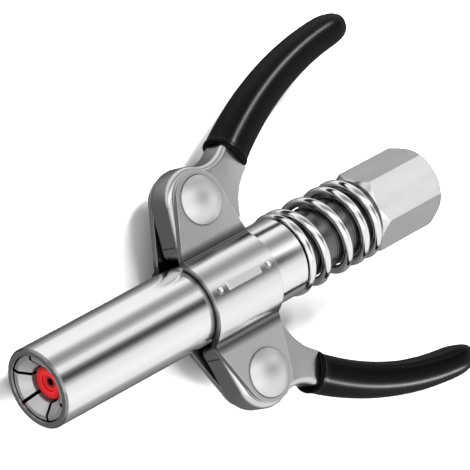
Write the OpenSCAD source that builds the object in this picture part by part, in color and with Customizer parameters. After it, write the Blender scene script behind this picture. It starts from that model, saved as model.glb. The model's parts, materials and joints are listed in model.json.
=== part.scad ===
// Locking grease coupler. Squeezing the two levers draws the sleeve back
// from the nose, so that six jaws come out, open and let go of a grease nipple.
// X runs along the tube from the nose to the inlet and Z is square to the wings.
// The origin is the centre of the inlet face, and the jaws are drawn closed.

/* [Sleeve] */
// Outside diameter of the sleeve
sleeve_d = 18; // [17:0.5:20]
// Length of the sleeve
sleeve_l = 71.9; // [68:0.1:80]
// Bore of the sleeve, where the stem runs
sleeve_bore_d = 14.8; // [14.4:0.1:15.2]
// Wall of the sleeve at the nose
nose_wall = 1.5; // [1.2:0.1:1.8]
// Depth of the cone in the nose that closes the jaws
nose_cone_l = 5; // [4.5:0.5:7]
// Diameter of the throat behind the cone
throat_d = 14; // [13.8:0.1:14.3]
// Distance from the nose to the end of the throat
throat_l = 20; // [19.5:0.5:23]
// How far the sleeve draws back
stroke = 4.6; // [3:0.1:5]

/* [Inlet and stem] */
// Width across the flats of the hexagon
hex_af = 16.5; // [16:0.5:19]
// Length of the hexagon
hex_l = 19; // [17:0.5:26]
// Turn of the hexagon's first flat from the top
hex_turn = 12; // [0:1:30]
// Depth of the chamfers on the hexagon's corners
hex_chamfer = 1.5; // [0.5:0.1:2]
// Tapping diameter of the inlet port
port_d = 8.7; // [8.5:0.1:9]
// Depth of the inlet port
port_depth = 10; // [8:0.5:12]
// Diameter of the grease passage
passage_d = 4; // [3:0.5:4.5]
// Diameter of the spigot that joins hexagon and stem
spigot_d = 10; // [9.5:0.5:10.5]
// Length of that spigot
spigot_l = 9; // [7:0.5:10]
// Diameter of the groove that the cam fingers work in
groove_d = 8.8; // [8:0.2:9.2]

/* [Main spring] */
// Length of the spring at rest, from the sleeve to the hexagon
spring_l = 24.1; // [22:0.1:28]
// Wire diameter
spring_wire = 2; // [1.6:0.1:2.2]
// Mean diameter of the coils
spring_mean_d = 17.2; // [17:0.1:18]

/* [Saddle plates] */
// Sheet thickness of the plates
plate_t = 1.4; // [1:0.1:1.5]
// Gap between sleeve and plates
plate_gap = 0.15; // [0.1:0.05:0.3]
// Distance from the nose to the plates
saddle_set = 43.3; // [42:0.1:46]
// Length of the plates along the sleeve
saddle_l = 19; // [18:0.5:22]
// Inside bend radius between half round and wing
crease_r = 1.2; // [0.8:0.1:2]
// Radius of the wing tips
wing_r = 6.4; // [6:0.1:7]
// Diameter of the two pressed dimples on the top plate
dimple_d = 1.6; // [1:0.1:2]
// Length of the raised bar between the dimples
bar_l = 9.5; // [8:0.1:11]
// Width of that bar
bar_w = 1.7; // [1:0.1:2.5]
// Height of that bar
bar_h = 0.3; // [0.2:0.05:0.6]

/* [Levers] */
// Distance from the front of the plates to the pivots
pivot_set = 10.6; // [10:0.1:11.5]
// Distance from the axis to the pivots
pivot_y = 19.9; // [19.5:0.1:21]
// Width of the lever channel
lever_w = 7; // [6:0.1:7.4]
// Sheet thickness of the levers
lever_t = 1.5; // [1:0.1:1.8]
// Radius of the lever head round its pivot
head_r = 7.5; // [7:0.1:8]
// Lean of the head's front face
front_lean = 9.5; // [5:0.5:14]
// Length of the head's front face below the pivot
front_drop = 8.6; // [7:0.1:9]
// Radius of the hollow between head and handle
neck_r = 8; // [6:0.5:9]
// Radius of the notch under the neck
notch_r = 13; // [11:0.5:14]
// Radius of the cam finger tips
cam_r = 1.15; // [0.9:0.05:1.3]
// Distance from the axis to the centre of the cam tips
cam_y = 5.4; // [5.2:0.1:5.8]
// Diameter of the rivets
rivet_d = 5; // [4:0.5:6]
// Diameter of the rivet heads
rivet_head_d = 10.6; // [9:0.2:11.5]
// Height of the rivet heads
rivet_head_h = 2.3; // [1.5:0.1:3]

/* [Handles and grips] */
// Radius of the handles' curve
handle_r = 76; // [70:1:84]
// Distance of the pivot outside that curve
handle_off = 5.1; // [4.6:0.1:5.4]
// Angle from the sleeve's line to the centre of that curve, seen from the pivot
handle_way = 44; // [43.5:0.1:44.5]
// Reach of the steel handle outside the curve
handle_out = 3.2; // [2.8:0.1:3.4]
// Reach of the steel handle inside the curve
handle_in = 2.6; // [2.2:0.1:2.8]
// Length of handle that shows between the neck's hollow and the grip
grip_set = 0.6; // [0.3:0.1:3]
// Length of the grip along the curve
grip_l = 47.6; // [45:0.1:52]
// Length of steel past the neck's hollow, along the curve
steel_l = 29.6; // [26:0.1:34]
// Half width of the grip at its mouth
grip_half_w = 4.3; // [4.2:0.1:5]
// Half thickness of the grip at its mouth
grip_half_t = 5; // [4.8:0.1:5.6]
// Share of the mouth's size that is left near the tip
grip_taper = 0.8; // [0.75:0.01:1]

/* [Jaws and seal] */
// Depth of the jaws' front face behind the nose
jaw_recess = 0.5; // [0.3:0.1:1]
// Inner radius of the jaws' flat front face
jaw_face_r = 6.3; // [5.8:0.1:6.5]
// Diameter of the mouth between the jaws
mouth_d = 8.3; // [8.1:0.1:8.8]
// Width of the slots between the jaws
jaw_slot = 0.75; // [0.5:0.05:1]
// Turn of the first slot from the top
jaw_turn = 20; // [0:1:60]
// Distance from the nose to the line that the jaws rock on
jaw_pivot = 16.4; // [16:0.1:17]
// Diameter of the seal
seal_d = 7.5; // [7:0.1:7.6]
// Depth of the seal's face behind the nose
seal_set = 3; // [2.8:0.1:4]
// Length of the seal
seal_l = 5.5; // [4.5:0.5:6]
// Diameter of the hole in the seal
seal_hole_d = 1.4; // [1:0.1:1.8]
// How far the seal gives way
seal_travel = 1.2; // [0.5:0.1:1.5]
// Diameter of the check ball
ball_d = 4.8; // [4:0.2:5.4]
// How far the check ball lifts
ball_lift = 1; // [0.5:0.1:1.5]

/* [Hidden] */
$fn = 72;

// Clearances: a running fit, a light contact, the room that cuts take past a face,
// and the step that lets round and flat faces cross where they would only touch
run_gap = 0.05;
touch_gap = 0.05;
over = 1;
hair = 0.02;

// Places along X, counted back from the inlet face
hex_front = -hex_l;
sleeve_rear = hex_front - spring_l;
nose = sleeve_rear - sleeve_l;
saddle_x = nose + saddle_set;
pivot_x = saddle_x + pivot_set;

// Sleeve
sleeve_r = sleeve_d / 2;
bore_r = sleeve_bore_d / 2;
nose_r = sleeve_r - nose_wall;
throat_r = throat_d / 2;
edge = 0.4;

// Stem, counted from the nose
stem_r = bore_r - run_gap;
stop_gap = 0.9;
stem_front = nose + throat_l + stroke + stop_gap;
holder_bore_r = 3.25;
chamber_r = 4.6;
shank_l = 8;
carrier_head_l = 2;
seal_spring_l = 8.8;
chamber_end = stem_front + shank_l + carrier_head_l + seal_spring_l + seal_travel;
holder_end = stem_front + shank_l;
groove_r = groove_d / 2;
cam_back = stroke / 2;
cam_gap = 0.1;
groove_room = 4;
groove_front = pivot_x + cam_back - cam_r - cam_gap;
groove_rear = pivot_x + cam_back + groove_room;

// Check valve, in front of the spigot
spigot_r = spigot_d / 2;
seat_t = 2;
seat_front = hex_front - spigot_l - seat_t;
seat_hole_r = 1.6;
ball_r = ball_d / 2;
ball_x = seat_front - sqrt(pow(ball_r, 2) - pow(seat_hole_r, 2)) - touch_gap;
valve_r = 3.6;
check_spring_l = 7.2;
valve_front = seat_front - ball_d - ball_lift - check_spring_l;
passage_r = passage_d / 2;

// Jaws
jaw_pivot_x = nose + jaw_pivot;
nose_gap = 0.25;
throat_gap = 0.3;
heel_gap = 0.55;
jaw_heel_r = throat_r - heel_gap;
jaw_back = 1.6;
mouth_r = mouth_d / 2;
rib_half = 0.8;
rib_gap = 0.2;
flange_r = 5;
flange_l = 2;
groove_floor_r = 4.3;
rib_foot_gap = 0.15;
rib_r = groove_floor_r + rib_foot_gap;
flange_front = jaw_pivot_x - rib_half - rib_gap - flange_l;
collar_gap = 0.4;
collar_front = jaw_pivot_x + jaw_back + collar_gap;
ring_wire_r = 0.4;
ring_x = flange_front + flange_l / 2;
mouth_depth = 2.5;
seal_r = seal_d / 2;
seal_front = nose + seal_set;
seal_rear = seal_front + seal_l;
plug_l = 3;
plug_r = 2.4;
carrier_bore_r = 1.5;
o_ring_floor_r = 2.5;
o_ring_wire_r = (holder_bore_r - o_ring_floor_r) / 2;
o_ring_set = 2.5;
o_ring_x = stem_front + o_ring_set;

// Saddle plates: the bend's centre in the cross-section serves both faces of the sheet
saddle_in_r = sleeve_r + plate_gap;
saddle_out_r = saddle_in_r + plate_t;
lever_gap = 0.1;
flat_in = lever_w / 2 + lever_gap;
flat_out = flat_in + plate_t;
bend_z = flat_out + crease_r;
bend_y = sqrt(pow(saddle_out_r + crease_r, 2) - pow(bend_z, 2));
wing_reach = pivot_y + wing_r;

// Levers, counted from the pivot with y outwards
rivet_r = rivet_d / 2;
handle_c = (handle_r + handle_off) * [cos(handle_way), -sin(handle_way)];
cam_tip = [cam_back, cam_y - pivot_y];
web_round = 1.4;
grip_gap = 0.1;
mouth_lean = 9;
deg_per_mm = 180 / (PI * handle_r);
neck_c = meet([0, 0], head_r + neck_r, handle_c, handle_r + handle_out + neck_r);
neck_way = heading([0, 0], neck_c);
neck_end = heading(handle_c, neck_c);
grip_start = neck_end - grip_set * deg_per_mm;
grip_end = grip_start - grip_l * deg_per_mm;
steel_end = neck_end - steel_l * deg_per_mm;
notch_start = -60;
notch_end = 168;
finger_shoulder = 0.8;
notch_c = polar(mouth_pt(-grip_half_w, grip_gap), notch_r, notch_start);

// Point at an angle and a distance round a centre
function polar(centre, r, a) = centre + r * [cos(a), sin(a)];

// Direction from one point to another
function heading(from, to) = atan2(to.y - from.y, to.x - from.x);

// Point at distances ra from a and rb from b, to the left of the way from a to b
function meet(a, ra, b, rb) =
    let (d = norm(b - a), turn = acos((ra * ra + d * d - rb * rb) / (2 * ra * d)))
    polar(a, ra, heading(a, b) + turn);

// Point on the plane of the grip's mouth, off the handle's curve by dr and back from the mouth
function mouth_pt(dr, back) =
    polar(handle_c, handle_r + dr, grip_start + (back - dr * tan(mouth_lean)) * deg_per_mm);

// Points along an arc in equal steps, from the given step on
function arc(centre, r, a0, a1, steps, first = 0) =
    [for (i = [first : steps]) polar(centre, r, a0 + (a1 - a0) * i / steps)];

// Point out from the pivot towards the lever's front face, and down along that face
function front_pt(out, down) = polar(polar([0, 0], out, 180 - front_lean), down, 270 - front_lean);

// Point where a line from p touches a circle, on the given side
function touch(p, centre, r, side) =
    polar(centre, r, heading(centre, p) + side * acos(r / norm(p - centre)));

// Solid of revolution about X from [radius, x] points
module turned(points) {
    rotate([0, 90, 0])
        rotate_extrude()
            polygon(points);
}

// Plain bar, or bore cutter, on the axis
module rod(r, x0, x1) {
    translate([x0, 0, 0])
        rotate([0, 90, 0])
            cylinder(r = r, h = x1 - x0);
}

// Round-wire ring on the axis
module wire_ring(mean_r, wire_r, x) {
    translate([x, 0, 0])
        rotate([0, 90, 0])
            rotate_extrude()
                translate([mean_r, 0])
                    circle(wire_r, $fn = 24);
}

// Coil spring along X, wound from +Z towards -Y. The path is a list of [turn, x],
// and the radius may change along it.
module coil(path, r0, r1, wire_r, sides, steps, start_angle = 0) {
    turns = path[len(path) - 1][0];
    rings = ceil(turns * steps);
    function turn_at(i) = turns * i / rings;
    function centre_r(i) = r0 + (r1 - r0) * i / rings;
    points = [
        for (i = [0 : rings], j = [0 : sides - 1])
            let (a = start_angle + 360 * turn_at(i),
                 b = 360 * j / sides,
                 r = centre_r(i) + wire_r * cos(b))
            [lookup(turn_at(i), path) - wire_r * sin(b), -r * sin(a), r * cos(a)]
    ];
    sheets = [
        for (i = [0 : rings - 1], j = [0 : sides - 1])
            let (k = (j + 1) % sides)
            [i * sides + j, i * sides + k, (i + 1) * sides + k, (i + 1) * sides + j]
    ];
    start_face = [for (j = [sides - 1 : -1 : 0]) j];
    end_face = [for (j = [0 : sides - 1]) rings * sides + j];
    polyhedron(points, concat(sheets, [start_face, end_face]));
}

// Copy on the right (+Y) for side 1, or mirrored to the left for side -1
module on_side(side) {
    mirror([0, side > 0 ? 0 : 1, 0])
        children();
}

// Hexagon with the threaded port behind and the spigot that holds the stem in front
module inlet_hex() {
    corner_r = hex_af / 2 / cos(30);
    face_step = 0.2;
    face_r = hex_af / 2 - face_step;
    past_r = corner_r + over;
    past_l = hex_chamfer * (past_r - face_r) / (corner_r - face_r);
    color("gainsboro")
        difference() {
            union() {
                intersection() {
                    translate([hex_front, 0, 0])
                        rotate([0, 90, 0])
                            rotate([0, 0, 30 - hex_turn])
                                cylinder(r = corner_r, h = hex_l, $fn = 6);
                    turned([
                        [0, hex_front], [face_r, hex_front], [past_r, hex_front + past_l],
                        [past_r, -past_l], [face_r, 0], [0, 0]
                    ]);
                }
                rod(spigot_r - run_gap, hex_front - spigot_l, hex_front + over);
            }
            rod(port_d / 2, -port_depth, over);
            rod(passage_r, hex_front - spigot_l - over, over);
        }
}

// Turned inner body: chamber for the seal in front, cam groove, check valve behind
module stem() {
    color("dimgray")
        turned([
            [chamber_r, stem_front], [stem_r, stem_front],
            [stem_r, groove_front], [groove_r, groove_front],
            [groove_r, groove_rear], [stem_r, groove_rear],
            [stem_r, hex_front], [spigot_r, hex_front],
            [spigot_r, seat_front], [valve_r, seat_front],
            [valve_r, valve_front], [passage_r, valve_front],
            [passage_r, chamber_end], [chamber_r, chamber_end]
        ]);
}

// Bush in the front of the stem, with the groove that the jaws rock in
module jaw_holder() {
    groove_x0 = jaw_pivot_x - rib_half - rib_gap;
    groove_x1 = jaw_pivot_x + rib_half + rib_gap;
    ring_x0 = ring_x - ring_wire_r - rib_gap;
    ring_x1 = ring_x + ring_wire_r + rib_gap;
    color("darkgray")
        turned([
            [holder_bore_r, flange_front], [flange_r, flange_front],
            [flange_r, ring_x0], [groove_floor_r, ring_x0],
            [groove_floor_r, ring_x1], [flange_r, ring_x1],
            [flange_r, groove_x0], [groove_floor_r, groove_x0],
            [groove_floor_r, groove_x1], [flange_r, groove_x1],
            [flange_r, collar_front], [jaw_heel_r, collar_front],
            [jaw_heel_r, stem_front], [chamber_r - run_gap, stem_front],
            [chamber_r - run_gap, holder_end], [holder_bore_r, holder_end]
        ]);
}

// Spring ring in the holder that spreads the jaws
module jaw_ring() {
    color("silver")
        wire_ring(groove_floor_r + ring_wire_r, ring_wire_r - touch_gap / 2, ring_x);
}

// Hollow piston that carries the seal on its front spigot
module seal_carrier() {
    r = holder_bore_r - run_gap;
    head_r = chamber_r - rib_gap;
    front = seal_rear - plug_l + touch_gap;
    groove_half = 1.4 * o_ring_wire_r;
    tail = holder_end + touch_gap;
    color("goldenrod")
        turned([
            [carrier_bore_r, front], [plug_r, front],
            [plug_r, seal_rear], [r, seal_rear],
            [r, o_ring_x - groove_half], [o_ring_floor_r, o_ring_x - groove_half],
            [o_ring_floor_r, o_ring_x + groove_half], [r, o_ring_x + groove_half],
            [r, tail], [head_r, tail],
            [head_r, tail + carrier_head_l], [carrier_bore_r, tail + carrier_head_l]
        ]);
}

// Face seal: dished in front, with a pocket behind for the carrier's spigot
module seal() {
    dish = 0.3;
    ring_r = 2;
    color("red")
        turned([
            [seal_hole_d / 2, seal_front + 3 * dish], [ring_r, seal_front + 2 * dish],
            [ring_r, seal_front + dish], [seal_r - dish, seal_front],
            [seal_r, seal_front + dish], [seal_r, seal_rear],
            [plug_r + run_gap, seal_rear], [plug_r + run_gap, seal_rear - plug_l],
            [seal_hole_d / 2, seal_rear - plug_l]
        ]);
}

module carrier_o_ring() {
    color("black")
        wire_ring(o_ring_floor_r + o_ring_wire_r, o_ring_wire_r - touch_gap / 4, o_ring_x);
}

// Spring behind the seal carrier
module seal_spring() {
    wire = 0.4;
    side_gap = 0.5;
    x0 = holder_end + touch_gap + carrier_head_l + wire + touch_gap;
    x1 = chamber_end - wire - touch_gap;
    mean_r = chamber_r - wire - side_gap;
    color("silver")
        coil([[0, x0], [1, x0 + 2 * wire], [4, x1 - 2 * wire], [5, x1]],
             mean_r, mean_r, wire, 8, 14);
}

// Ring that the check ball closes on, held between stem and hexagon
module check_seat() {
    r = spigot_r - run_gap;
    color("goldenrod")
        turned([
            [seat_hole_r, seat_front], [r, seat_front],
            [r, seat_front + seat_t], [seat_hole_r, seat_front + seat_t]
        ]);
}

module check_ball() {
    color("silver")
        translate([ball_x, 0, 0])
            sphere(ball_r);
}

// Tapered spring that holds the ball on its seat
module check_spring() {
    wire = 0.3;
    side_gap = 0.3;
    front_r = valve_r - wire - side_gap;
    ball_end_r = ball_r * 0.8;
    x0 = valve_front + wire + touch_gap;
    x1 = ball_x - sqrt(pow(ball_r + wire + 2 * touch_gap, 2) - pow(ball_end_r, 2));
    color("silver")
        coil([[0, x0], [1, x0 + 2 * wire], [5, x1 - 2 * wire], [6, x1]],
             front_r, ball_end_r, wire, 8, 14);
}

// Straight tube with a cone and a throat in its nose, and a window on each side for the cam fingers
module sleeve() {
    end_gap = 0.4;
    side_gap = 0.3;
    window_x0 = pivot_x - cam_back - cam_r - over;
    window_x1 = groove_rear + end_gap;
    window_w = lever_w + 2 * side_gap;
    color("silver")
        difference() {
            turned([
                [nose_r, nose], [sleeve_r - edge, nose], [sleeve_r, nose + edge],
                [sleeve_r, sleeve_rear - edge], [sleeve_r - edge, sleeve_rear], [bore_r, sleeve_rear],
                [bore_r, nose + throat_l], [throat_r, nose + throat_l], [throat_r, nose + nose_cone_l]
            ]);
            translate([window_x0, -sleeve_r - over, -window_w / 2])
                cube([window_x1 - window_x0, sleeve_d + 2 * over, window_w]);
        }
}

// Everything under one face of the saddle sheet, in Y and Z: half round, bend and flat
module under_sheet(r, flat, bend) {
    circle(r);
    translate([-wing_reach - over, -saddle_out_r - over])
        square([2 * (wing_reach + over), flat + saddle_out_r + over]);
    for (side = [0, 1])
        mirror([side, 0])
            difference() {
                polygon([[0, 0], [bend_y, flat - over], [bend_y, bend_z]]);
                translate([bend_y, bend_z])
                    circle(bend - hair);
            }
}

// Block over the plan of the two wings: straight edges that run off the round tips
module wing_block() {
    front = [saddle_x, bend_y];
    rear = [saddle_x + saddle_l, bend_y];
    pivot = [pivot_x, pivot_y];
    edge_r = wing_r - hair;
    for (side = [-1, 1])
        on_side(side) {
            translate(pivot)
                cylinder(r = wing_r, h = saddle_out_r + over);
            linear_extrude(saddle_out_r + over)
                polygon([
                    [saddle_x, -over], front, touch(front, pivot, edge_r, -1), pivot,
                    touch(rear, pivot, edge_r, 1), rear, [rear.x, -over]
                ]);
        }
}

// One pressed saddle, drawn as the top one
module saddle_sheet() {
    difference() {
        intersection() {
            translate([saddle_x - over, 0, 0])
                rotate([90, 0, 90])
                    linear_extrude(saddle_l + 2 * over)
                        difference() {
                            under_sheet(saddle_out_r, flat_out, crease_r);
                            under_sheet(saddle_in_r, flat_in, crease_r + plate_t);
                        }
            wing_block();
        }
        for (side = [-1, 1])
            translate([pivot_x, side * pivot_y, 0])
                cylinder(r = rivet_r, h = flat_out + over);
    }
}

// Top saddle, with two dimples pressed down on to the sleeve and a raised bar between them,
// all on one line a little off the top
module top_saddle_plate() {
    off_top = 10;
    inset = 2.3;
    depth = 0.5;
    foot_d = 0.9 * dimple_d;
    bar_root = saddle_out_r - plate_t / 2;
    dimple_xs = [saddle_x + inset, saddle_x + saddle_l - inset];
    color("lightgray")
        difference() {
            union() {
                saddle_sheet();
                rotate([-off_top, 0, 0]) {
                    for (x = dimple_xs)
                        dimple(x, sleeve_r + touch_gap, saddle_in_r + plate_t / 2, foot_d);
                    translate([saddle_x + (saddle_l - bar_l) / 2, -bar_w / 2, bar_root])
                        cube([bar_l, bar_w, saddle_out_r + bar_h - bar_root]);
                }
            }
            rotate([-off_top, 0, 0])
                for (x = dimple_xs)
                    dimple(x, saddle_out_r - depth, saddle_out_r + over, dimple_d);
        }
}

// Round plug square to the half round, between two radii
module dimple(x, r0, r1, d) {
    translate([x, 0, r0])
        cylinder(d = d, h = r1 - r0);
}

module bottom_saddle_plate() {
    color("lightgray")
        rotate([180, 0, 0])
            saddle_sheet();
}

// Dome-headed rivet through both wings and the lever between them
module rivet() {
    rim = 0.3;
    dome_r = (pow(rivet_head_d / 2, 2) + pow(rivet_head_h - rim, 2)) / (2 * (rivet_head_h - rim));
    color("silver")
        translate([pivot_x, pivot_y, 0]) {
            cylinder(r = rivet_r, h = 2 * flat_out, center = true);
            for (face = [0, 1])
                mirror([0, 0, face])
                    translate([0, 0, flat_out]) {
                        cylinder(d = rivet_head_d, h = rim);
                        intersection() {
                            translate([0, 0, rivet_head_h - dome_r])
                                sphere(dome_r);
                            cylinder(d = rivet_head_d, h = rivet_head_h);
                        }
                    }
        }
}

// Section of the pressed channel before it is hollowed, rounded on its outer edges
module channel(from, to, grow = 0) {
    half = lever_w / 2 + grow;
    round = web_round + grow;
    translate([from - grow, -half])
        square([to - from + 2 * grow - round, 2 * half]);
    translate([from - grow, round - half])
        square([to - from + 2 * grow, 2 * (half - round)]);
    for (z = [round - half, half - round])
        translate([to + grow - round, z])
            circle(round, $fn = 32);
}

// Stretch of the handle's curve between two angles, with the children as its section
module handle_stretch(start, end) {
    translate(handle_c)
        rotate([0, 0, end])
            rotate_extrude(angle = start - end)
                children();
}

// Outside of the lever's web set in by d: front face, head, neck and handle
function web(d, drop, end) = concat(
    [front_pt(head_r - d, drop)],
    arc([0, 0], head_r - d, 180 - front_lean, neck_way, 16),
    arc(neck_c, neck_r + d, neck_way - 180, heading(neck_c, handle_c), 10, 1),
    arc(handle_c, handle_r + handle_out - d, neck_end, end, 14, 1)
);

// Side view of the lever with its web set in by d, closed by handle, notch and cam finger
function lever_outline(d) =
    let (tip_x = cam_tip.x - cam_r,
         shoulder_y = sleeve_r + finger_shoulder - pivot_y,
         mouth_way = heading(handle_c, mouth_pt(-handle_in, grip_gap)))
    concat(
        web(d, front_drop, steel_end),
        arc(handle_c, handle_r - handle_in, steel_end, mouth_way, 6),
        arc(notch_c, notch_r, notch_start + 180, notch_end, 8),
        [[tip_x + 4 * cam_r, shoulder_y]],
        arc(cam_tip, cam_r, 0, -180, 8),
        [[tip_x, shoulder_y], front_pt(0, front_drop)]
    );

// Lever blank with rounded edges along its web, pivot at the origin. It is lofted through
// layers of [set-in, height], past the cheeks' faces, and cut flat there.
module lever_blank() {
    flat_half = lever_w / 2 - web_round;
    half_layers = [for (a = [0 : 30 : 90]) [web_round * (1 - cos(a)), flat_half + web_round * sin(a)]];
    upper = concat(half_layers, [[web_round, lever_w]]);
    layers = concat([for (i = [len(upper) - 1 : -1 : 0]) [upper[i][0], -upper[i][1]]], upper);
    count = len(lever_outline(0));
    last = len(layers) - 1;
    points = [for (layer = layers, p = lever_outline(layer[0])) [p.x, p.y, layer[1]]];
    sides = [
        for (i = [0 : last - 1], j = [0 : count - 1])
            let (k = (j + 1) % count)
            [i * count + j, i * count + k, (i + 1) * count + k, (i + 1) * count + j]
    ];
    bottom = [for (j = [count - 1 : -1 : 0]) j];
    top = [for (j = [0 : count - 1]) last * count + j];
    intersection() {
        polyhedron(points, concat([bottom], sides, [top]));
        cube([4 * handle_r, 4 * handle_r, lever_w], center = true);
    }
}

// Pressed lever: a channel that is open inwards, with two cam fingers
module lever() {
    low_y = cam_tip.y - cam_r - over;
    color("darkgray")
        translate([pivot_x, pivot_y, 0])
            difference() {
                lever_blank();
                linear_extrude(lever_w - 2 * lever_t, center = true)
                    polygon(concat(
                        web(lever_t, front_drop + over, steel_end - over),
                        arc(handle_c, handle_r - grip_half_w - over, steel_end - over, grip_start, 6),
                        [notch_c, [notch_c.x, low_y], [-head_r, low_y]]
                    ));
                cylinder(r = rivet_r + run_gap, h = lever_w + over, center = true);
            }
}

// Dipped grip: a rounded section swept along the handle's curve, with a lip at its mouth
module grip() {
    sides = 24;
    fullness = 3.4;
    lip = 1.05;
    lip_l = 1;
    lip_end = 1.3;
    tip_l = 9;
    body_l = grip_l - tip_l;
    stations = concat(
        [0, lip_l, lip_end],
        [for (i = [1 : 12]) lip_end + (body_l - lip_end) * i / 12],
        [for (i = [1 : 7]) body_l + tip_l * sin(i * 12)]
    );
    last = len(stations) - 1;
    function size(s) = (s > lip_l ? 1 : lip) * (1 - (1 - grip_taper) * s / grip_l)
        * (s < body_l ? 1 : sqrt(1 - pow((s - body_l) / tip_l, 2)));
    function power(v) = sign(v) * pow(abs(v), 2 / fullness);
    function lean(s) = mouth_lean * max(0, 1 - s / tip_l);
    function skin(s, b) =
        let (dr = grip_half_w * size(s) * power(cos(b)),
             at = polar(handle_c, handle_r + dr, grip_start - (s + dr * tan(lean(s))) * deg_per_mm))
        [at.x, at.y, grip_half_t * size(s) * power(sin(b))];
    mouth_c = polar(handle_c, handle_r, grip_start);
    tip_c = polar(handle_c, handle_r, grip_end);
    points = concat(
        [for (s = stations, j = [0 : sides - 1]) skin(s, 360 * j / sides)],
        [[mouth_c.x, mouth_c.y, 0], [tip_c.x, tip_c.y, 0]]
    );
    faces = concat(
        [for (i = [0 : last - 1], j = [0 : sides - 1])
            let (k = (j + 1) % sides)
            [i * sides + j, i * sides + k, (i + 1) * sides + k, (i + 1) * sides + j]],
        [for (j = [0 : sides - 1]) [(j + 1) % sides, j, len(points) - 2]],
        [for (j = [0 : sides - 1]) [last * sides + j, last * sides + (j + 1) % sides, len(points) - 1]]
    );
    color("black")
        translate([pivot_x, pivot_y, 0])
            difference() {
                polyhedron(points, faces);
                handle_stretch(grip_start + over, steel_end - grip_gap * deg_per_mm)
                    channel(handle_r - handle_in, handle_r + handle_out, grip_gap);
            }
}

// Return spring: a closed turn at the sleeve, open coils, and closer ones at the hexagon
module main_spring() {
    wire = spring_wire / 2;
    x0 = sleeve_rear + wire + touch_gap;
    x1 = hex_front - wire - touch_gap;
    turns = 5;
    front_turns = 1.05;
    front_rise = 0.2;
    rear_turns = 1.8;
    rear_pitch = 1.95 * spring_wire;
    start_angle = 133;
    path = [
        [0, x0], [front_turns, x0 + front_rise],
        [turns - rear_turns, x1 - rear_pitch * rear_turns], [turns, x1]
    ];
    color("silver")
        coil(path, spring_mean_d / 2, spring_mean_d / 2, wire, 10, 24, start_angle);
}

// One of the six jaws, counted round from the first slot
module jaw(i) {
    back = jaw_pivot_x + jaw_back;
    inner_r = flange_r + rib_gap;
    root_x = flange_front - collar_gap;
    root_l = 1;
    cone_end = nose + nose_cone_l;
    relief_l = 1.5;
    color("gray")
        rotate([0, 90, 0])
            rotate([0, 0, 180 - jaw_turn - 60 * i])
                difference() {
                    rotate_extrude(angle = 60)
                        polygon([
                            [nose_r - nose_gap, nose + jaw_recess], [throat_r - throat_gap, cone_end],
                            [jaw_heel_r, cone_end + relief_l], [jaw_heel_r, back],
                            [inner_r, back], [inner_r, jaw_pivot_x + rib_half],
                            [rib_r, jaw_pivot_x + rib_half], [rib_r, jaw_pivot_x - rib_half],
                            [inner_r, jaw_pivot_x - rib_half], [inner_r, root_x],
                            [mouth_r, root_x - root_l], [mouth_r, nose + mouth_depth],
                            [jaw_face_r, nose + jaw_recess]
                        ]);
                    for (end = [0, 1])
                        rotate([0, 0, 60 * end])
                            translate([0, -jaw_slot / 2, nose])
                                cube([sleeve_r, jaw_slot, back - nose + over]);
                }
}

inlet_hex();
stem();
jaw_holder();
jaw_ring();
seal_carrier();
seal();
carrier_o_ring();
seal_spring();
check_seat();
check_ball();
check_spring();
sleeve();
top_saddle_plate();
bottom_saddle_plate();
on_side(1) rivet();  // right_rivet
on_side(-1) rivet();  // left_rivet
on_side(1) lever();  // right_lever
on_side(-1) lever();  // left_lever
on_side(1) grip();  // right_grip
on_side(-1) grip();  // left_grip
main_spring();
for (i = [1 : 6])
    jaw(i);
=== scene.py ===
"""Looks of the grease coupler: materials, finer pieces over the solids, light and camera.

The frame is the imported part's: metres, X from nose to inlet, Z square to the wings.
The finer pieces are written in millimetres and scaled by MM.
"""

import json
import math

import bpy
from mathutils import Matrix, Vector


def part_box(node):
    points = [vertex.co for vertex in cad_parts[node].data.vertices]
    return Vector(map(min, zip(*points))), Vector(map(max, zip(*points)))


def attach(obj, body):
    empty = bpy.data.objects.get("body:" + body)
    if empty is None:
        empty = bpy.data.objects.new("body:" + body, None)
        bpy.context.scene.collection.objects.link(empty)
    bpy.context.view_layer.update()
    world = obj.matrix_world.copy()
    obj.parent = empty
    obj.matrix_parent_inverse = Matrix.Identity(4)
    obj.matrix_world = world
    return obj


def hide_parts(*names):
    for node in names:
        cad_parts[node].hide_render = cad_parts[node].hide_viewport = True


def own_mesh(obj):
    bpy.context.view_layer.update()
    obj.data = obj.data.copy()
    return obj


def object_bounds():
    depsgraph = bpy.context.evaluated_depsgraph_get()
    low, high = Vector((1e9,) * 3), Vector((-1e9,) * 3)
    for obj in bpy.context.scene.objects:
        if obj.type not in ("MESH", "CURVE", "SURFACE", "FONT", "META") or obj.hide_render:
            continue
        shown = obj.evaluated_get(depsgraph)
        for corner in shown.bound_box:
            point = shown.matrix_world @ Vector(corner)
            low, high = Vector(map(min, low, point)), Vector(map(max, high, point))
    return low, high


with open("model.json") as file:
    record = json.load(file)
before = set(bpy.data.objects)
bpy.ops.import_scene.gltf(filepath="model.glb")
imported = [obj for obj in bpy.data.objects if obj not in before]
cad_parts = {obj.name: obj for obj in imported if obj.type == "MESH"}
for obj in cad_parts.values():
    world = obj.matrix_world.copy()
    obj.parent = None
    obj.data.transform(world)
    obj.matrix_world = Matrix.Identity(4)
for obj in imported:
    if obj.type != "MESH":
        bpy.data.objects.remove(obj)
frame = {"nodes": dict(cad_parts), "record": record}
nodes = frame["nodes"]
cad_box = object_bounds()

MM = 0.001
RIGHT_PIVOT = Vector((-61.1, 19.9))  # the right rivet's axis in X and Y, in mm
SHARP_EDGE = math.radians(36)  # edges that turn by more than this stay sharp


# Materials


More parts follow.
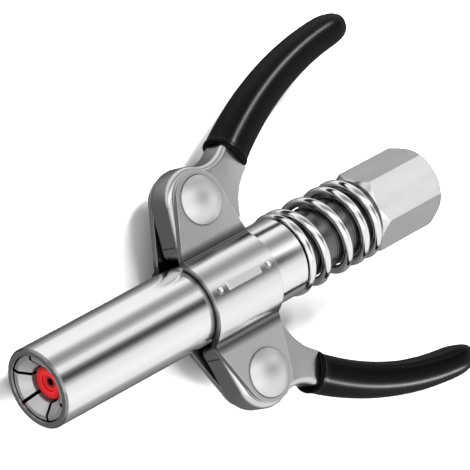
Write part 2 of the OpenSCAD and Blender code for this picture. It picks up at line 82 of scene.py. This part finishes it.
class Surface:
    """A Principled material whose texture coordinates are metres in the part's frame.

    Colour and roughness hold where no texture is linked to them.
    """

    def __init__(self, name, color, metallic, roughness, edge=None, **sockets):
        self.material = bpy.data.materials.new(name)
        self.material.use_nodes = True
        self.nodes = self.material.node_tree.nodes
        self.links = self.material.node_tree.links
        self.shader = self.nodes["Principled BSDF"]
        self.set(self.shader, "Base Color", (*color, 1))
        self.set(self.shader, "Metallic", metallic)
        self.set(self.shader, "Roughness", roughness)
        for socket, value in sockets.items():
            self.set(self.shader, socket.replace("_", " "), value)
        coordinates = self.nodes.new("ShaderNodeTexCoord")
        self.place = coordinates.outputs["Object"]
        self.facing = coordinates.outputs["Normal"]
        self.normal = None
        if edge:
            self.rounded(edge)

    @staticmethod
    def set(node, socket, value):
        node.inputs[socket].default_value = value

    def rounded(self, radius):
        """Edges that catch the light as if rounded to that radius."""
        node = self.nodes.new("ShaderNodeBevel")
        self.set(node, "Radius", radius)
        self.normal = node.outputs["Normal"]
        self.links.new(self.normal, self.shader.inputs["Normal"])

    def stretched(self, scale):
        """The place with each axis multiplied by its own scale."""
        node = self.nodes.new("ShaderNodeMapping")
        self.set(node, "Scale", scale)
        self.links.new(self.place, node.inputs["Vector"])
        return node.outputs["Vector"]

    def noise(self, scale, detail=3.0):
        """Noise with that many cells per metre along X, Y and Z."""
        node = self.nodes.new("ShaderNodeTexNoise")
        self.set(node, "Scale", 1.0)
        self.set(node, "Detail", detail)
        self.links.new(self.stretched(scale), node.inputs["Vector"])
        return node.outputs["Fac"]

    def rings(self, pitch):
        """Even grooves round the X axis, one to a pitch."""
        node = self.nodes.new("ShaderNodeTexWave")
        node.wave_type = "BANDS"
        node.bands_direction = "X"
        self.set(node, "Scale", math.pi / 10 / pitch)
        self.set(node, "Distortion", 0.0)
        self.links.new(self.place, node.inputs["Vector"])
        return node.outputs["Fac"]

    def math(self, operation, a, b=0.0):
        node = self.nodes.new("ShaderNodeMath")
        node.operation = operation
        for socket, value in zip(node.inputs, (a, b)):
            if isinstance(value, (int, float)):
                socket.default_value = value
            else:
                self.links.new(value, socket)
        return node.outputs["Value"]

    def axes(self, vector=None):
        """X, Y and Z of a vector, or of the place."""
        node = self.nodes.new("ShaderNodeSeparateXYZ")
        self.links.new(vector or self.place, node.inputs["Vector"])
        return node.outputs

    def length(self, a, b):
        squares = self.math("ADD", self.math("MULTIPLY", a, a), self.math("MULTIPLY", b, b))
        return self.math("SQRT", squares)

    def axis_distance(self):
        """Distance from the X axis."""
        _, y, z = self.axes()
        return self.length(y, z)

    def thread(self, pitch):
        """Height from 0 to 1 across the flanks of a thread round the X axis."""
        x, y, z = self.axes()
        turn = self.math("DIVIDE", self.math("ARCTAN2", y, z), 2 * math.pi)
        way = self.math("ADD", self.math("DIVIDE", x, pitch), turn)
        return self.math("MULTIPLY", self.math("PINGPONG", way, 0.5), 2)

    def mapped(self, value, low, high, start=0.0, end=1.0):
        """The value moved from the range start to end on to the range low to high."""
        node = self.nodes.new("ShaderNodeMapRange")
        self.set(node, "From Min", start)
        self.set(node, "From Max", end)
        self.set(node, "To Min", low)
        self.set(node, "To Max", high)
        self.links.new(value, node.inputs["Value"])
        return node.outputs["Result"]

    def rough(self, value, low, high):
        """Roughness that runs from low to high as the value runs from 0 to 1."""
        self.links.new(self.mapped(value, low, high), self.shader.inputs["Roughness"])

    def tint(self, value, dark, light, spread=(0.35, 0.65)):
        """Colour that runs from dark to light over that spread of the value."""
        node = self.nodes.new("ShaderNodeValToRGB")
        node.color_ramp.elements[0].position = spread[0]
        node.color_ramp.elements[1].position = spread[1]
        node.color_ramp.elements[0].color = (*dark, 1)
        node.color_ramp.elements[1].color = (*light, 1)
        self.links.new(value, node.inputs["Fac"])
        self.links.new(node.outputs["Color"], self.shader.inputs["Base Color"])

    def bump(self, value, depth):
        """Relief of that depth in metres."""
        node = self.nodes.new("ShaderNodeBump")
        self.set(node, "Strength", 1.0)
        self.set(node, "Distance", depth)
        self.links.new(value, node.inputs["Height"])
        if self.normal:
            self.links.new(self.normal, node.inputs["Normal"])
        self.links.new(node.outputs["Normal"], self.shader.inputs["Normal"])

    def corners(self, reach):
        """1 on open faces, falling towards 0 in corners within that reach."""
        node = self.nodes.new("ShaderNodeAmbientOcclusion")
        self.set(node, "Distance", reach)
        return node.outputs["AO"]


def grey(level):
    return (level, level, level * 1.01)


def polished():
    """Polished along the tube, with painted shade beside the plates and in the bore, and a darker band on
    the nose chamfer.
    """
    bore_edge, chamfer_x, face_x = 8.9 * MM, -114.58 * MM, -114.97 * MM
    s = Surface("polished_steel", grey(0.9), 1.0, 0.16, edge=0.2 * MM)
    x, _, _ = s.axes()
    outside = s.math("GREATER_THAN", s.axis_distance(), bore_edge)
    behind_edge = s.math("MULTIPLY", outside, s.math("GREATER_THAN", x, chamfer_x))
    # Painted shade: the colour falls towards black within 2 mm of corners, as beside the plates, and is
    # near black in the bore behind the chamfer.
    shown = s.math("MULTIPLY", s.mapped(s.corners(2 * MM), 0, 1, 0.35, 0.75), behind_edge)
    face = s.math("MULTIPLY", s.math("LESS_THAN", x, face_x), 0.9)
    chamfer = s.math("MULTIPLY", s.math("LESS_THAN", x, chamfer_x), 0.3)
    level = s.math("MAXIMUM", shown, s.math("MAXIMUM", face, chamfer))
    s.tint(level, grey(0.02), grey(0.9), (0.0, 1.0))
    s.rough(s.noise((60, 9000, 9000)), 0.12, 0.2)
    s.bump(s.noise((40, 12000, 12000), 2), 0.3e-6)
    return s.material


def plated():
    """Bright plate with painted shade in its creases and corners, and the raised bar on its crown left
    matt.
    """
    fold_y, fold_z, bar_foot_r, bar_foot_z = 9.98 * MM, 6.2 * MM, 10.62 * MM, 9 * MM
    s = Surface("plated_plate", grey(0.86), 1.0, 0.2, edge=0.15 * MM)
    x, y, z = s.axes()
    crease_y = s.math("SUBTRACT", s.math("ABSOLUTE", y), fold_y)
    crease_z = s.math("SUBTRACT", s.math("ABSOLUTE", z), fold_z)
    # Painted shade along the folds, darkest in the crease.
    painted_crease_shade = s.mapped(s.length(crease_y, crease_z), 0.15, 1, 1.25 * MM, 2.3 * MM)
    proud = s.math("GREATER_THAN", s.axis_distance(), bar_foot_r)
    bar = s.math("MULTIPLY", proud, s.math("GREATER_THAN", z, bar_foot_z))
    s.links.new(s.mapped(bar, 1.0, 0.35), s.shader.inputs["Metallic"])
    s.rough(s.math("ADD", s.noise((700, 500, 700)), s.math("MULTIPLY", bar, 3)), 0.16, 0.26)
    front, rear = (corner.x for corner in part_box("top_saddle_plate"))
    from_middle = s.math("ABSOLUTE", s.math("SUBTRACT", x, (front + rear) / 2))
    inside_ends = s.math("LESS_THAN", from_middle, (rear - front) / 2 - 1 * MM)
    crown = s.math("MULTIPLY", s.math("LESS_THAN", crease_y, -5 * MM), inside_ends)
    # Painted shade in corners within 5 mm, left out on the crown between the creases.
    painted_corner_shade = s.math("MAXIMUM", s.mapped(s.corners(5 * MM), 0, 1, 0.6, 0.92), crown)
    s.tint(s.math("MULTIPLY", painted_corner_shade, painted_crease_shade), grey(0.06), grey(0.88), (0.0, 1.0))
    s.bump(s.noise((1500, 1500, 1500)), 0.4e-6)
    return s.material


def lever_steel():
    s = Surface("lever_steel", grey(0.7), 1.0, 0.28, edge=0.35 * MM)
    s.rough(s.noise((300, 300, 300)), 0.2, 0.28)
    s.tint(s.noise((90, 90, 90)), grey(0.66), grey(0.72))
    s.bump(s.noise((1200, 1200, 1200)), 0.4e-6)
    return s.material


def rivet_steel():
    s = Surface("rivet_steel", grey(0.76), 1.0, 0.45, edge=0.2 * MM)
    s.rough(s.noise((900, 900, 900)), 0.43, 0.49)
    s.bump(s.noise((2000, 2000, 2000)), 0.5e-6)
    return s.material


def hex_steel():
    """Drawn hexagon bar, with the pipe thread cut in its port, which is painted dark as shade."""
    port_r, pitch, depth = 4.5 * MM, 0.94 * MM, 0.5 * MM
    s = Surface("hex_steel", grey(0.82), 1.0, 0.24, edge=0.35 * MM)
    s.rough(s.noise((200, 4000, 4000)), 0.2, 0.28)
    port = s.math("LESS_THAN", s.axis_distance(), port_r)
    grain = s.mapped(s.noise((60, 300, 300)), 0.92, 1.0, 0.35, 0.65)
    # The port is painted dark as shade in the hole; the grain is the bar's own tone.
    s.tint(s.math("MULTIPLY", grain, s.mapped(port, 1.0, 0.22)), grey(0), grey(0.85), (0.0, 1.0))
    s.bump(s.math("MULTIPLY", s.thread(pitch), port), depth)
    return s.material


def stem_steel():
    # Dark steel; part of its darkness is painted shade from the spring round it.
    s = Surface("stem_steel", grey(0.16), 1.0, 0.18)
    s.rough(s.noise((4000, 200, 200)), 0.14, 0.22)
    s.bump(s.rings(0.6 * MM), 0.025 * MM)
    return s.material


def spring_wire():
    s = Surface("spring_steel", grey(0.88), 1.0, 0.14)
    s.rough(s.noise((1200, 1200, 1200)), 0.1, 0.18)
    s.bump(s.noise((6000, 6000, 6000)), 0.4e-6)
    return s.material


def jaw_steel():
    """Ground steel, with the faces of the slots between the jaws painted black as shade."""
    s = Surface("jaw_steel", grey(0.56), 0.8, 0.34, edge=0.15 * MM)
    _, y, z = s.axes()
    _, side_y, side_z = s.axes(s.facing)
    across = s.math("SUBTRACT", s.math("MULTIPLY", side_y, z), s.math("MULTIPLY", side_z, y))
    slot = s.math("DIVIDE", s.math("ABSOLUTE", across), s.axis_distance())
    # Painted shade: faces that turn towards the slots go black.
    s.tint(slot, grey(0.56), grey(0.01), (0.5, 0.8))
    s.rough(s.noise((6000, 150, 150)), 0.3, 0.4)
    s.bump(s.noise((9000, 100, 100), 2), 0.6e-6)
    return s.material


def grip_plastic():
    s = Surface("grip_plastic", (0.0015, 0.0015, 0.0015), 0.0, 0.28, Specular_IOR_Level=0.08)
    s.rough(s.noise((600, 600, 600)), 0.25, 0.32)
    s.bump(s.noise((3500, 3500, 3500), 4), 0.5e-6)
    return s.material


def seal_rubber():
    """Red rubber with painted shade: nearly black in the hole, dark across its dish and darker again at
    its rim.
    """
    hole_r, dish_r, crest_r, rim_r = 0.75 * MM, 1.7 * MM, 2.4 * MM, 3.6 * MM
    s = Surface("seal_rubber", (0.6, 0.004, 0.008), 0.0, 0.25)
    out = s.axis_distance()
    # Painted shade: dark in the hole, rising across the dish, and falling again from the crest to the
    # rim.
    face = s.math("MULTIPLY", s.mapped(out, 0, 1, hole_r, dish_r), s.mapped(out, 1, 0.35, crest_r, rim_r))
    level = s.math("MULTIPLY", face, s.mapped(s.noise((900, 900, 900)), 0.85, 1.0))
    s.tint(level, (0.03, 0.001, 0.001), (0.72, 0.006, 0.01), (0.0, 1.0))
    s.bump(s.noise((4000, 4000, 4000)), 4e-6)
    return s.material


def black_rubber():
    s = Surface("o_ring_rubber", (0.02, 0.02, 0.02), 0.0, 0.5)
    s.bump(s.noise((4000, 4000, 4000)), 4e-6)
    return s.material


def brass():
    s = Surface("brass", (0.75, 0.54, 0.24), 1.0, 0.26)
    s.rough(s.noise((6000, 150, 150)), 0.2, 0.34)
    s.bump(s.noise((9000, 100, 100), 2), 1.5e-6)
    return s.material


LOOKS = {
    "polished_steel": polished(),
    "plated_plate": plated(),
    "lever_steel": lever_steel(),
    "rivet_steel": rivet_steel(),
    "hex_steel": hex_steel(),
    "stem_steel": stem_steel(),
    "spring_steel": spring_wire(),
    "jaw_steel": jaw_steel(),
    "grip_plastic": grip_plastic(),
    "seal_rubber": seal_rubber(),
    "o_ring_rubber": black_rubber(),
    "brass": brass(),
    "ball_steel": spring_wire(),
}


def dress(obj, slot):
    obj.data.materials.clear()
    obj.data.materials.append(LOOKS[slot])


for row in frame["record"]["subparts"]:
    dress(nodes[row["node"]], row["material_slot"])


# Shading of the pressed levers


def smooth_bends(node):
    """Shades the facets of a pressed bend as one curve and keeps the sharp edges sharp."""
    obj = nodes[node]
    weld = obj.modifiers.new("weld", "WELD")
    weld.merge_threshold = 2e-6
    split = obj.modifiers.new("split", "EDGE_SPLIT")
    split.split_angle = SHARP_EDGE
    normals = obj.modifiers.new("normals", "WEIGHTED_NORMAL")
    normals.weight = 60


smooth_bends("right_lever")
smooth_bends("left_lever")


# Finer pieces


def new_piece(name, points, faces, slot, body, node=None):
    """A smooth mesh that rides on a body, and stands for a node where one is given."""
    mesh = bpy.data.meshes.new(name)
    mesh.from_pydata(points, [], faces)
    mesh.validate()
    mesh.polygons.foreach_set("use_smooth", [True] * len(mesh.polygons))
    obj = bpy.data.objects.new(name, mesh)
    bpy.context.scene.collection.objects.link(obj)
    dress(obj, slot)
    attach(obj, body)
    if node:
        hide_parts(node)
    return obj


def tube_faces(rings, sides):
    """Quads between rings of points, with a cap at each end."""
    faces = []
    for i in range(rings - 1):
        here, there = i * sides, (i + 1) * sides
        for j in range(sides):
            k = (j + 1) % sides
            faces.append((here + j, there + j, there + k, here + k))
    faces.append(tuple(range(sides)))
    faces.append(tuple(reversed(range((rings - 1) * sides, rings * sides))))
    return faces


def between(table, at):
    """Value at a place in a rising table of (place, value), straight between its rows."""
    for (a, low), (b, high) in zip(table, table[1:]):
        if at <= b:
            return low + (high - low) * (at - a) / (b - a)
    return table[-1][1]


def coil_spring(node, path, coil_rs, wire_r, start=0.0):
    """Round wire along a path of (turn, x), riding on the inlet body in place of the node."""
    turns, steps, sides = path[-1][0], 48, 20
    rings = turns * steps + 1
    points = []
    for i in range(rings):
        angle = start + 2 * math.pi * i / steps
        x = between(path, i / steps)
        coil_r = coil_rs[0] + (coil_rs[1] - coil_rs[0]) * i / (rings - 1)
        for j in range(sides):
            b = 2 * math.pi * j / sides
            r = coil_r + wire_r * math.cos(b)
            at = (x + wire_r * math.sin(b), -r * math.sin(angle), r * math.cos(angle))
            points.append(Vector(at) * MM)
    faces = tube_faces(rings, sides)
    spring = new_piece(node + "_wire", points, faces, "spring_steel", "inlet", node)
    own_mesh(spring)


def main_spring():
    """The spring that shows round the stem, with a closed coil at its front."""
    path = [(0, -42.05), (1.05, -41.85), (3.2, -27.07), (5, -20.05)]
    coil_spring("main_spring", path, (8.6, 8.6), 1.0, math.radians(133))


def inner_springs():
    """The seal's spring, and the check ball's, which narrows towards the ball."""
    wire = 0.4
    front, rear = (corner.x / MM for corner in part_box("seal_spring"))
    path = [(0, front + wire), (1, front + 3 * wire), (4, rear - 3 * wire), (5, rear - wire)]
    coil_spring("seal_spring", path, (3.7, 3.7), wire)
    wire = 0.3
    front, rear = (corner.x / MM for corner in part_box("check_spring"))
    path = [(0, front + wire), (1, front + 3 * wire), (5, rear - 3 * wire), (6, rear - wire)]
    coil_spring("check_spring", path, (3.0, 1.92), wire)


def grip(name, side, body, node):
    """Dipped grip along the handle's curve, with a rolled lip round the hollow of its mouth."""
    curve_r, centre_off, centre_way = 76, 81.1, math.radians(44)
    centre = RIGHT_PIVOT + centre_off * Vector((math.cos(centre_way), -math.sin(centre_way)))
    start, length, tip, lip_end = 125.828, 47.6, 7, 1.3
    half_w, half_t, taper = 4.3, 5.0, 0.8
    lean, lean_end = 9, 9
    outer_fullness, inner_fullness, tip_fullness = 2.3, 3.2, 2.3
    body_end = length - tip
    mouth = [
        (2.5, 0.78), (0.5, 0.82), (0.15, 0.87), (0.0, 0.94), (0.08, 1.0),
        (0.25, 1.035), (0.55, 1.05), (0.85, 1.045), (1.1, 1.02), (lip_end, 1.0),
    ]
    along = [(lip_end + (body_end - lip_end) * i / 40, 1.0) for i in range(1, 41)]
    rounded = [(body_end + tip * math.sin(math.radians(i * 4.4)), 1.0) for i in range(1, 21)]
    sides = 56

    def power(v, fullness):
        return math.copysign(abs(v) ** (2 / fullness), v)

    points = []
    stations = mouth + along + rounded
    for s, swell in stations:
        size = swell * (1 - (1 - taper) * s / length)
        if s > body_end:
            size *= (1 - ((s - body_end) / tip) ** tip_fullness) ** (1 / tip_fullness)
        slope = math.tan(math.radians(lean * max(0, 1 - s / lean_end)))
        for j in range(sides):
            b = -2 * math.pi * j / sides
            fullness = outer_fullness if math.cos(b) > 0 else inner_fullness
            out = half_w * size * power(math.cos(b), fullness)
            angle = math.radians(start) - (s + out * slope) / curve_r
            at = centre + (curve_r + out) * Vector((math.cos(angle), math.sin(angle)))
            z = half_t * size * power(math.sin(b), fullness)
            points.append(Vector((at.x, side * at.y, side * z)) * MM)
    faces = tube_faces(len(stations), sides)
    return new_piece(name, points, faces, "grip_plastic", body, node)


def web_foot(name, side, body):
    """Rolled end of a lever's front web, which closes most of the gap down to the sleeve."""
    lean = math.radians(170.5)
    out = Vector((math.cos(lean), math.sin(lean)))
    down = Vector((-out.y, out.x))
    web_r, sheet, half, corner = 7.5, 1.5, 3.5, 1.4
    top, bottom, roll = 8.2, 9.5, 1.6
    arc = [math.radians(a) for a in range(0, 91, 10)]
    outer = [(half - corner + corner * math.sin(a), corner - corner * math.cos(a)) for a in arc]
    section = [(-z, d) for z, d in reversed(outer)] + outer + [(half, sheet), (-half, sheet)]
    stations = [(top, 0)] + [(bottom, math.radians(8 * i)) for i in range(11)]
    points = []
    for low, turn in stations:
        for z, depth in section:
            r = roll - depth
            forward, lower = web_r - roll + r * math.cos(turn), low + r * math.sin(turn)
            at = RIGHT_PIVOT + out * forward + down * lower
            points.append(Vector((at.x, side * at.y, side * z)) * MM)
    faces = tube_faces(len(stations), len(section))
    foot = new_piece(name, points, faces, "lever_steel", body)
    split = foot.modifiers.new("split", "EDGE_SPLIT")
    split.split_angle = SHARP_EDGE


main_spring()
inner_springs()
web_foot("right_web_foot", 1, "right_lever")
web_foot("left_web_foot", -1, "left_lever")
right_grip = grip("right_dipped_grip", 1, "right_lever", "right_grip")
left_grip = grip("left_dipped_grip", -1, "left_lever", "left_grip")


# Light, floor and camera


def area_light(name, place, size, power, middle=(-60 * MM, 0, 0)):
    """Soft box that faces a point of the part."""
    data = bpy.data.lights.new(name, "AREA")
    data.shape = "RECTANGLE"
    data.size, data.size_y = size
    data.energy = power
    obj = bpy.data.objects.new(name, data)
    obj.location = place
    obj.visible_camera = False
    obj.rotation_euler = (Vector(middle) - Vector(place)).to_track_quat("-Z", "Y").to_euler()
    bpy.context.scene.collection.objects.link(obj)
    return obj


def strip_light(name, first, last, width, power, pieces, middle):
    """Strip between two places, seen from the middle, that lights those pieces only."""
    first, last, middle = Vector(first), Vector(last), Vector(middle)
    place, reach = middle + (first + last) / 2, last - first
    strip = area_light(name, place, (reach.length, width), power, middle)
    away = (place - middle).normalized()
    along = (reach - reach.dot(away) * away).normalized()
    strip.rotation_euler = Matrix((along, away.cross(along), away)).transposed().to_euler()
    lit = bpy.data.collections.new(name)
    for piece in pieces:
        lit.objects.link(piece)
    strip.light_linking.receiver_collection = lit


def studio_world():
    """Pale room with soft strips along X, so that round bright steel shows its bands.

    Each row gives degrees from straight up towards +Y, and the level there.
    """
    strips = [
        (-180, 0.12), (-145, 0.14), (-125, 0.26), (-108, 0.36), (-92, 0.9), (-60, 1.0), (-26, 0.9),
        (-13, 0.5), (-7, 0.14), (3, 0.02), (11, 0.16), (21, 0.85), (31, 0.95), (42, 0.45),
        (51, 0.28), (60, 0.34), (80, 1.0), (118, 0.95), (132, 0.4), (152, 0.14), (180, 0.12),
    ]
    world = bpy.data.worlds.new("studio")
    world.use_nodes = True
    tree = world.node_tree
    tree.nodes.clear()
    place = tree.nodes.new("ShaderNodeTexCoord")
    split = tree.nodes.new("ShaderNodeSeparateXYZ")
    turn = tree.nodes.new("ShaderNodeMath")
    turn.operation = "ARCTAN2"
    share = tree.nodes.new("ShaderNodeMapRange")
    share.inputs["From Min"].default_value = -math.pi
    share.inputs["From Max"].default_value = math.pi
    ramp = tree.nodes.new("ShaderNodeValToRGB")
    ramp.color_ramp.interpolation = "EASE"
    stops = ramp.color_ramp.elements
    for degrees, level in strips[1:-1]:
        stops.new((degrees + 180) / 360).color = (level, level, level, 1)
    stops[0].color = stops[-1].color = (strips[0][1],) * 3 + (1,)
    light = tree.nodes.new("ShaderNodeBackground")
    light.inputs["Strength"].default_value = 1.0
    out = tree.nodes.new("ShaderNodeOutputWorld")
    tree.links.new(place.outputs["Generated"], split.inputs["Vector"])
    tree.links.new(split.outputs["Y"], turn.inputs[0])
    tree.links.new(split.outputs["Z"], turn.inputs[1])
    tree.links.new(turn.outputs["Value"], share.inputs["Value"])
    tree.links.new(share.outputs["Result"], ramp.inputs["Fac"])
    tree.links.new(ramp.outputs["Color"], light.inputs["Color"])
    tree.links.new(light.outputs["Background"], out.inputs["Surface"])
    bpy.context.scene.world = world


def pale_floor():
    """Floor just below the part, left out of the steel's reflections."""
    s = Surface("floor", (0.75, 0.75, 0.75), 0.0, 0.7, Specular_IOR_Level=0.2)
    s.rough(s.noise((8, 8, 8)), 0.65, 0.75)
    half, z = 3.0, cad_box[0].z - 0.05 * MM
    mesh = bpy.data.meshes.new("floor")
    corners = [(-half, -half, z), (half, -half, z), (half, half, z), (-half, half, z)]
    mesh.from_pydata(corners, [], [(0, 1, 2, 3)])
    obj = bpy.data.objects.new("floor", mesh)
    obj.data.materials.append(s.material)
    bpy.context.scene.collection.objects.link(obj)
    obj.visible_glossy = False
    return obj


def photo_camera():
    """Camera at the photograph's viewing angle."""
    right = (0.69703, -0.36352, 0.61806)
    up = (0.37451, 0.91962, 0.11853)
    back = (-0.61147, 0.14885, 0.77714)
    place = (-0.639606, 0.151810, 0.746685)
    data = bpy.data.cameras.new("camera")
    data.sensor_width = 36
    data.lens = 344.95
    data.clip_start, data.clip_end = 0.01, 20
    obj = bpy.data.objects.new("camera", data)
    rows = [(*axes, p) for *axes, p in zip(right, up, back, place)]
    obj.matrix_world = Matrix(rows + [(0, 0, 0, 1)])
    bpy.context.scene.collection.objects.link(obj)
    bpy.context.scene.camera = obj


studio_world()
floor = pale_floor()
area_light("key", (-0.75, 0.1, 1.1), (1.8, 1.8), 8)
area_light("hex_card", (0.048, 0.0116, 0.076), (0.07, 0.06), 0.008, (-0.0095, 0.0014, 0.008))
strip_light(
    "right_strip", (0.1, 0.47, 0.9), (0.65, 0.5, 0.59), 0.16, 22, (right_grip, floor), (-0.03, 0.035, 0)
)
strip_light(
    "left_strip", (0.15, -0.72, 0.7), (0.65, -0.7, 0.33), 0.16, 20, (left_grip, floor), (-0.03, -0.035, 0)
)
photo_camera()
bpy.context.scene.view_settings.view_transform = "Standard"
